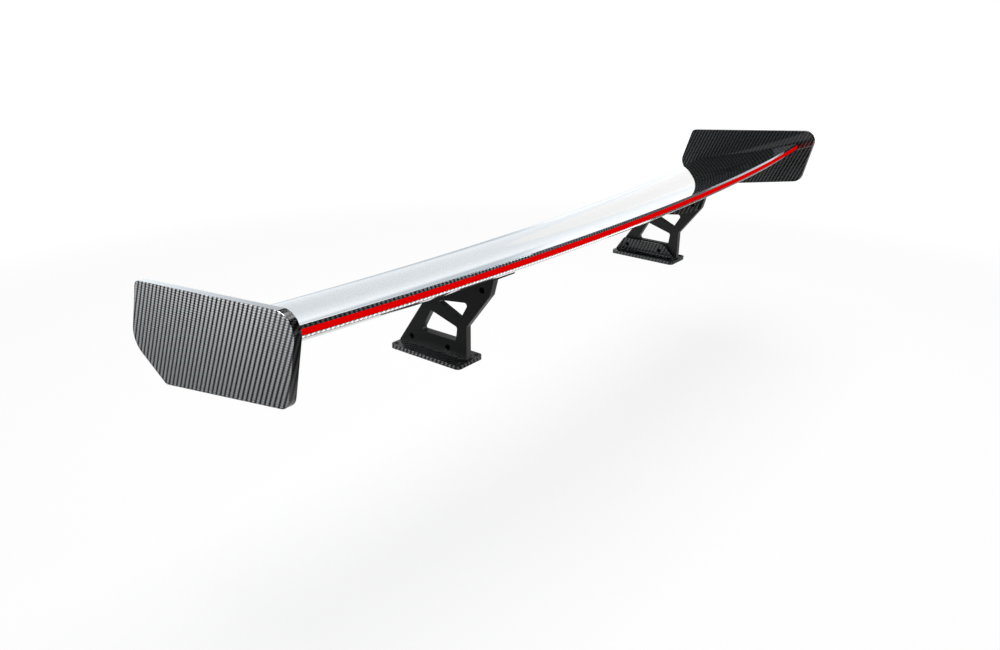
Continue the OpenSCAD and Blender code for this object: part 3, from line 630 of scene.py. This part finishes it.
def sweep_piece(name, line, section, slot):
    """A piece of the blade: a section carried across the car."""
    piece = new_piece(name, loop_mesh(name, line))
    modifier = piece.modifiers.new("Bowed sweep", "NODES")
    modifier.node_group = bpy.data.node_groups["Bowed sweep"]
    weave = values().weave
    set_inputs(modifier, half_span=section.half_span, bow_centre=section.bow_centre,
               stations=section.stations, rib_lean=weave.blade_lean,
               cloth_scale=weave.tow / weave.blade_tow, material=material_of(slot))
    settle(piece)
    close_up(piece.data)
    shade(piece.data)
    return piece


def close_up(mesh):
    """Merges doubles and turns every face outwards."""
    work = bmesh.new()
    work.from_mesh(mesh)
    bmesh.ops.remove_doubles(work, verts=work.verts, dist=MERGE)
    bmesh.ops.recalc_face_normals(work, faces=work.faces)
    work.to_mesh(mesh)
    work.free()


# Bolts

def turned(name, rings, sides=48):
    """A closed solid from rings round the Z axis: heights, and reaches that may follow the angle."""
    verts = []
    faces = []
    for height, reach in rings:
        for i in range(sides):
            angle = math.tau * i / sides
            far = reach(angle) if callable(reach) else reach
            verts.append((far * math.cos(angle), far * math.sin(angle), height))
    for row in range(0, len(verts) - sides, sides):
        for i in range(sides):
            a, b = row + i, row + (i + 1) % sides
            faces.append((a, b, b + sides, a + sides))
    faces.append(range(sides))
    faces.append(range(len(verts) - sides, len(verts)))
    mesh = bpy.data.meshes.new(name)
    mesh.from_pydata(verts, [], faces)
    close_up(mesh)
    return mesh


def cap_bolt(length):
    """A socket-headed bolt along the Z axis, with the top of its head at the origin."""
    sizes = values().bolts
    head, shank, edge = sizes.head / 2, sizes.shank / 2, sizes.edge
    sixth = math.tau / 6

    def flat(angle):
        return sizes.socket / 2 / math.cos(angle % sixth - sixth / 2)

    rings = [(-sizes.height / 2, flat), (-edge, flat), (0.0, flat(0.0) + edge / 2)]
    for i in range(5):
        turn = math.radians(90) * i / 4
        rings.append((edge * (math.cos(turn) - 1), head + edge * (math.sin(turn) - 1)))
    rings += [(-sizes.height, head), (-sizes.height, shank), (edge - length, shank), (-length, shank - edge)]
    return turned("cap bolt", rings)


def bolt_set(stem, body):
    """All bolts of one kind: one for each place that the boxes of the part's own bolts give."""
    sizes = values().bolts
    nodes = [side + "_" + stem for side in SIDES]
    places = []
    axes = []
    for node, way in zip(nodes, (-1, 1)):
        low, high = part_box(node)
        length = high.x - low.x
        rows = {round(low.y + sizes.head / 2, 6), round(high.y - sizes.head / 2, 6)}
        for row in sorted(rows):
            places.append((low.x if way < 0 else high.x, row, (low.z + high.z) / 2))
            axes += [way, 0, 0]
    mesh = bpy.data.meshes.new(stem)
    mesh.from_pydata(places, [], [])
    mesh.attributes.new("axis", "FLOAT_VECTOR", "POINT").data.foreach_set("vector", axes)
    piece = new_piece(stem + "_finish", mesh)
    shape = new_piece(stem + "_shape", cap_bolt(length))
    modifier = piece.modifiers.new("Fasteners on points", "NODES")
    modifier.node_group = bpy.data.node_groups["Fasteners on points"]
    set_inputs(modifier, fastener=shape, seed=sizes.seed, material=material_of("black_steel"))
    settle(piece)
    bpy.data.objects.remove(shape)
    shade(piece.data)
    dress(piece, body, "black_steel", *nodes)


# Copies of the part's own solids with rounded edges

def box_map(work, lean):
    """Maps the cloth flat onto each face along its own main axis, with leaning ribs."""
    layer = work.loops.layers.uv.new(WEAVE)
    turn = Matrix.Rotation(lean, 2)
    for face in work.faces:
        sizes = [abs(v) for v in face.normal]
        main = sizes.index(max(sizes))
        first, second = ((1, 2), (0, 2), (0, 1))[main]
        for loop in face.loops:
            spot = loop.vert.co
            loop[layer].uv = turn @ Vector((spot[first], spot[second]))


def wrap_map(work, lean):
    """Lays the cloth on a plate's two faces and folds it over the edges from the outer face."""
    layer = work.loops.layers.uv.new(WEAVE)
    turn = Matrix.Rotation(lean, 2)
    outer = max(abs(vert.co.x) for vert in work.verts)
    for face in work.faces:
        way = Vector(face.normal.yz)
        for loop in face.loops:
            spot = loop.vert.co
            loop[layer].uv = turn @ (Vector(spot.yz) + way * (outer - abs(spot.x)))


def edge_loops(work, angle):
    """Connected groups of the edges sharper than an angle, each with its length."""
    left = {e for e in work.edges if len(e.link_faces) == 2 and e.calc_face_angle() > angle}
    groups = []
    while left:
        stack = [left.pop()]
        group = []
        while stack:
            edge = stack.pop()
            group.append(edge)
            for vert in edge.verts:
                for other in vert.link_edges:
                    if other in left:
                        left.remove(other)
                        stack.append(other)
        groups.append((sum(e.calc_length() for e in group), group))
    return groups


def softened(name, node, rounding, lean=0.0, cloth=box_map, small=0.25, short=60 * MM):
    """A copy of a CAD solid with its edges rounded, less so round small holes."""
    mesh = frame["nodes"][node].data.copy()
    work = bmesh.new()
    work.from_mesh(mesh)
    bmesh.ops.remove_doubles(work, verts=work.verts, dist=MERGE)
    bmesh.ops.dissolve_limit(work, angle_limit=math.radians(0.5), verts=work.verts, edges=work.edges)
    weight = work.edges.layers.float.new("bevel_weight_edge")
    for length, group in edge_loops(work, math.radians(40)):
        for edge in group:
            edge[weight] = 1.0 if length > short else small
    for old in list(work.loops.layers.uv):
        work.loops.layers.uv.remove(old)
    cloth(work, lean)
    work.to_mesh(mesh)
    work.free()
    mesh.materials.clear()
    shade(mesh)
    piece = new_piece(name, mesh)
    bevel = piece.modifiers.new("Rounded edges", "BEVEL")
    bevel.width = rounding
    bevel.segments = 4
    bevel.limit_method = "WEIGHT"
    bevel.harden_normals = True
    bevel.use_clamp_overlap = True
    return piece


def paired(stem, body, slot, *finish):
    """Left and right copies of one kind of plate."""
    for side in SIDES:
        node = side + "_" + stem
        piece = softened(node + "_finish", node, *finish)
        piece.data.materials.append(material_of(slot))
        dress(piece, body, slot, node)


# Operators

class WING_OT_materials(bpy.types.Operator):
    """Make one material for each finish and give it to the nodes that stay."""

    bl_idname = "rear_wing.materials"
    bl_label = "Materials"

    def execute(self, context):
        made = make_materials()
        for slot, material in made.items():
            context.scene["slot_" + slot] = material.name
        for part in frame["record"]["subparts"]:
            node = frame["nodes"][part["node"]]
            node.data.materials.clear()
            node.data.materials.append(made[part["material_slot"]])
        return {"FINISHED"}


class WING_OT_blade(bpy.types.Operator):
    """Sweep the two skins of the blade."""

    bl_idname = "rear_wing.blade"
    bl_label = "Blade skins"

    def execute(self, context):
        section = Section()
        bowed_sweep()
        upper = section.skin(1, section.lip_foot, section.sizes.edge_round)
        lower = section.skin(-1, section.rim_top, section.sizes.belly_round)
        for node, line in (("upper_skin", upper), ("lower_skin", lower)):
            piece = sweep_piece(node + "_finish", line, section, "carbon")
            dress(piece, "wing", "carbon", node)
        return {"FINISHED"}


class WING_OT_light(bpy.types.Operator):
    """Sweep the red lens of the light strip."""

    bl_idname = "rear_wing.light"
    bl_label = "Light strip"

    def execute(self, context):
        section = Section()
        piece = sweep_piece("led_lens_finish", section.lens(), section, "lens_red")
        dress(piece, "wing", "lens_red", "led_lens")
        return {"FINISHED"}


class WING_OT_plates(bpy.types.Operator):
    """Round the edges of the end plates."""

    bl_idname = "rear_wing.plates"
    bl_label = "End plates"

    def execute(self, context):
        paired("endplate", "wing", "carbon", values().edges.plate, -values().weave.plate_lean, wrap_map)
        return {"FINISHED"}


class WING_OT_supports(bpy.types.Operator):
    """Round the edges of the feet, uprights and brackets."""

    bl_idname = "rear_wing.supports"
    bl_label = "Feet, uprights and brackets"

    def execute(self, context):
        edges = values().edges
        lean = values().weave.plate_lean
        paired("foot", "mounting", "carbon", edges.foot, -lean)
        paired("upright", "mounting", "upright_black", edges.upright)
        paired("bracket", "wing", "carbon", edges.bracket, -lean)
        return {"FINISHED"}


class WING_OT_fasteners(bpy.types.Operator):
    """Set the socket-headed bolts of the uprights."""

    bl_idname = "rear_wing.fasteners"
    bl_label = "Bolts"

    def execute(self, context):
        fasteners_on_points()
        bolt_set("foot_bolts", "mounting")
        bolt_set("pivot_bolt", "wing")
        return {"FINISHED"}


class WING_OT_stage(bpy.types.Operator):
    """Set the floor, the lights, the background and the camera."""

    bl_idname = "rear_wing.stage"
    bl_label = "Stage"

    def execute(self, context):
        make_floor()
        make_lights()
        make_background()
        make_camera()
        context.scene.view_settings.view_transform = "Standard"
        return {"FINISHED"}


# Stage

def seen(tree):
    """One for rays from the camera and for rays that a mirror or glass sends on."""
    path = add(tree, "ShaderNodeLightPath")
    return path, sum_up(tree, "MAXIMUM", path.outputs["Is Camera Ray"], path.outputs["Is Glossy Ray"],
                        path.outputs["Is Transmission Ray"])


def ramp(tree, value, start, end, low, high):
    """A smooth rise from one value to another while the input goes from start to end."""
    return add(tree, "ShaderNodeMapRange", {
        "Value": value, "From Min": start, "From Max": end, "To Min": low, "To Max": high},
        interpolation_type="SMOOTHSTEP").outputs[0]


def make_floor(depth=0.27, half=30.0):
    """A pale floor some way under the feet, white to the eye, that keeps a soft shadow."""
    mesh = bpy.data.meshes.new("floor")
    corners = [(-half, -half, -depth), (half, -half, -depth), (half, half, -depth), (-half, half, -depth)]
    mesh.from_pydata(corners, [], [(0, 1, 2, 3)])
    floor = new_piece("floor", mesh)
    material, tree = new_material("Pale studio floor")
    path, shown = seen(tree)
    place = add(tree, "ShaderNodeTexCoord")
    spot = add(tree, "ShaderNodeSeparateXYZ", {0: place.outputs["Object"]})
    way = add(tree, "ShaderNodeVectorMath", {0: place.outputs["Object"]}, operation="NORMALIZE")
    side = add(tree, "ShaderNodeVectorMath", {0: way.outputs[0], 1: (1.0, -0.8, 0.0)},
               operation="DOT_PRODUCT")
    away = add(tree, "ShaderNodeVectorMath", {0: place.outputs["Object"]}, operation="LENGTH")
    # In a mirror the floor is dark to the left of the wing and behind it, as in a flagged studio.
    near = ramp(tree, spot.outputs[0], -0.75, -0.35, 0.15, 1.0)
    right = sum_up(tree, "MAXIMUM", near, ramp(tree, side.outputs["Value"], -0.9, -0.45, 0.15, 1.0))
    beyond = ramp(tree, spot.outputs[0], 0.9, 2.2, 0.1, 0.8)
    front = sum_up(tree, "MAXIMUM", beyond, ramp(tree, spot.outputs[1], -0.5, -0.25, 0.1, 1.0))
    # To the eye it goes from pale under the wing, where the shadow lies, to white.
    plain = ramp(tree, away.outputs["Value"], 1.4, 3.2, 0.79, 1.05)
    far = ramp(tree, spot.outputs[1], 0.3, 1.2, 0.0, 1.0)
    tint = add(tree, "ShaderNodeMix", {0: far, 6: linear("#FFFFFF"), 7: linear("#E6F0F8")},
               data_type="RGBA")
    paint = add(tree, "ShaderNodeBsdfDiffuse", {"Color": linear("#898989")})
    glow = add(tree, "ShaderNodeEmission", {"Strength": plain})
    lit = add(tree, "ShaderNodeAddShader", {0: paint.outputs[0], 1: glow.outputs[0]})
    mirrored = add(tree, "ShaderNodeEmission", {
        "Color": tint.outputs[2], "Strength": sum_up(tree, "MULTIPLY", right, front)})
    white = add(tree, "ShaderNodeMixShader", {
        0: path.outputs["Is Camera Ray"], 1: mirrored.outputs[0], 2: lit.outputs[0]})
    mix = add(tree, "ShaderNodeMixShader", {0: shown, 1: paint.outputs[0], 2: white.outputs[0]})
    end_material(tree, mix)
    mesh.materials.append(material)


def area_light(name, place, aim, size, power, colour="#FFFFFF", fade=None, only=()):
    """A softbox that faces a point.

    A fade gives the shares of the height, and then of the width, between which the light rises
    from nothing to full. With flags round it, a softbox lights only the named pieces.
    """
    lamp = bpy.data.lights.new(name, "AREA")
    lamp.shape = "RECTANGLE"
    lamp.size, lamp.size_y = size
    lamp.energy = power
    lamp.color = linear(colour)[:3]
    if fade:
        lamp.use_nodes = True
        tree = lamp.node_tree
        tree.nodes.clear()
        spot = add(tree, "ShaderNodeNewGeometry")
        share = add(tree, "ShaderNodeSeparateXYZ", {0: spot.outputs["Parametric"]})
        upward = ramp(tree, share.outputs[1], *fade[:2], 0.0, 1.0)
        sideward = ramp(tree, share.outputs[0], *fade[2:], 0.0, 1.0)
        glow = add(tree, "ShaderNodeEmission", {"Strength": sum_up(tree, "MAXIMUM", upward, sideward)})
        add(tree, "ShaderNodeOutputLight", {"Surface": glow.outputs[0]})
    light = bpy.data.objects.new(name, lamp)
    bpy.context.scene.collection.objects.link(light)
    light.location = place
    light.rotation_euler = (Vector(aim) - Vector(place)).to_track_quat("-Z", "Y").to_euler()
    light.visible_camera = False
    if only:
        lit = bpy.data.collections.new(name)
        for piece in only:
            lit.objects.link(bpy.data.objects[piece])
        light.light_linking.receiver_collection = lit


def make_lights():
    """One softbox overhead and smaller ones round the wing, most of them flagged to a few pieces."""
    area_light("overhead softbox", (0.1, 0.0, 2.3), (0.1, 0.0, 0.0), (2.4, 1.8), 36)
    # Two strips ahead of the blade, which its upper skin mirrors as one white band
    area_light("blade strip", (0.365, 0.295, 0.109), (0.506, -0.695, 0.109), (2.19, 0.098), 0.515,
               fade=(0.31, 0.58, 0.62, 0.48), only=("upper_skin_finish",))
    area_light("far strip", (1.0, 0.3854, 0.204), (1.141, -0.6046, 0.204), (0.91, 0.092), 0.198,
               only=("upper_skin_finish",))
    # What the left end plate's upper edge mirrors
    area_light("plate strip", (-0.55, 0.36, 0.3), (-0.55, -1.0, 0.3), (0.5, 0.3), 0.825, colour="#DCE8F2")
    # Low ones behind the wing, for the rear edges of the uprights and feet, the lip and the rim
    supports = [side + stem for side in SIDES for stem in ("_foot_finish", "_upright_finish")]
    area_light("rear softbox", (0.72, -1.33, -0.1), (-0.28, -0.33, 0.15), (1.0, 0.25), 7, only=supports)
    area_light("lip softbox", (0.58, -1.47, -0.1), (-0.42, -0.47, 0.15), (0.6, 0.25), 9, colour="#D8E6F0",
               only=("upper_skin_finish",))
    area_light("lip end softbox", (2.0, -0.62, -0.1), (0.5, -0.13, 0.17), (0.5, 0.3), 1.1,
               colour="#D8E6F0", only=("upper_skin_finish",))
    area_light("rim softbox", (-0.02, -0.43, -0.13), (-0.02, 0.135, 0.696), (1.25, 0.46), 14.5,
               only=("lower_skin_finish",))
    # One beside the left end, which brings out the cloth of its plate
    area_light("left softbox", (-1.4, 0.4, 0.3), (-0.7, 0.02, 0.14), (0.3, 0.3), 40,
               only=("left_endplate_finish", "left_foot_finish"))


def make_background():
    """White behind the object, and darker towards the back of the studio."""
    world = bpy.data.worlds.new("Studio")
    bpy.context.scene.world = world
    world.use_nodes = True
    tree = world.node_tree
    tree.nodes.clear()
    path, shown = seen(tree)
    place = add(tree, "ShaderNodeTexCoord")
    way = add(tree, "ShaderNodeSeparateXYZ", {0: place.outputs["Generated"]})
    right = ramp(tree, way.outputs[0], -0.3, 0.4, 0.05, 1.0)
    front = ramp(tree, way.outputs[1], -0.2, 0.5, 0.05, 1.0)
    low = ramp(tree, way.outputs[2], 0.3, 0.45, 1.0, 0.15)
    mirrored = add(tree, "ShaderNodeMix", {
        0: path.outputs["Is Camera Ray"], 2: sum_up(tree, "MULTIPLY", right, front, low), 3: 1.0})
    strength = add(tree, "ShaderNodeMix", {0: shown, 2: 0.4, 3: mirrored.outputs[0]})
    sky = add(tree, "ShaderNodeBackground", {"Color": (1, 1, 1, 1), "Strength": strength.outputs[0]})
    add(tree, "ShaderNodeOutputWorld", {"Surface": sky.outputs[0]})


def make_camera():
    """The photograph's view."""
    view = values().camera
    data = bpy.data.cameras.new("Photograph")
    data.sensor_fit = "HORIZONTAL"
    data.sensor_width = 36
    data.lens = view.lens
    data.clip_start = 0.01
    camera = bpy.data.objects.new("Photograph", data)
    bpy.context.scene.collection.objects.link(camera)
    ahead = Vector((math.cos(view.yaw) * math.cos(view.pitch), math.sin(view.yaw) * math.cos(view.pitch),
                    -math.sin(view.pitch)))
    level = Vector((math.sin(view.yaw), -math.cos(view.yaw), 0))
    down = ahead.cross(level)
    right = math.cos(view.roll) * level + math.sin(view.roll) * down
    axes = Matrix((right, -ahead.cross(right), -ahead)).transposed()
    camera.matrix_world = Matrix.Translation(view.place) @ axes.to_4x4()
    bpy.context.scene.camera = camera


# Add-on

class RearWing(bpy.types.PropertyGroup):
    """All values of the rear wing."""

    blade: bpy.props.PointerProperty(type=BladeSizes, name="Blade", description="Sizes of the blade")
    edges: bpy.props.PointerProperty(type=EdgeSizes, name="Edges", description="Roundings")
    bolts: bpy.props.PointerProperty(type=BoltSizes, name="Bolts", description="Bolts of the uprights")
    weave: bpy.props.PointerProperty(type=WeaveSizes, name="Weave", description="Carbon cloth")
    camera: bpy.props.PointerProperty(type=CameraView, name="Camera", description="View")


STEPS = (WING_OT_materials, WING_OT_blade, WING_OT_light, WING_OT_plates, WING_OT_supports,
         WING_OT_fasteners, WING_OT_stage)


class WING_PT_panel(bpy.types.Panel):
    """Lists the steps that dress the rear wing."""

    bl_idname = "WING_PT_panel"
    bl_label = "Rear wing"
    bl_space_type = "VIEW_3D"
    bl_region_type = "UI"
    bl_category = "Rear wing"

    def draw(self, context):
        for step in STEPS:
            self.layout.operator(step.bl_idname)
        for group in ("blade", "edges", "bolts", "weave", "camera"):
            held = getattr(context.scene.rear_wing, group)
            for key in held.__annotations__:
                self.layout.prop(held, key)


CLASSES = (BladeSizes, EdgeSizes, BoltSizes, WeaveSizes, CameraView, RearWing) + STEPS + (WING_PT_panel,)


def register():
    """Registers the classes and hangs the values on the scene."""
    for kind in CLASSES:
        bpy.utils.register_class(kind)
    bpy.types.Scene.rear_wing = bpy.props.PointerProperty(type=RearWing)


def unregister():
    """Takes the values and the classes away again."""
    del bpy.types.Scene.rear_wing
    for kind in reversed(CLASSES):
        bpy.utils.unregister_class(kind)


def main():
    """Registers the add-on and runs every step that dresses the part."""
    register()
    bpy.ops.rear_wing.materials()
    bpy.ops.rear_wing.blade()
    bpy.ops.rear_wing.light()
    bpy.ops.rear_wing.plates()
    bpy.ops.rear_wing.supports()
    bpy.ops.rear_wing.fasteners()
    bpy.ops.rear_wing.stage()
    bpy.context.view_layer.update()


if __name__ == "__main__":
    main()
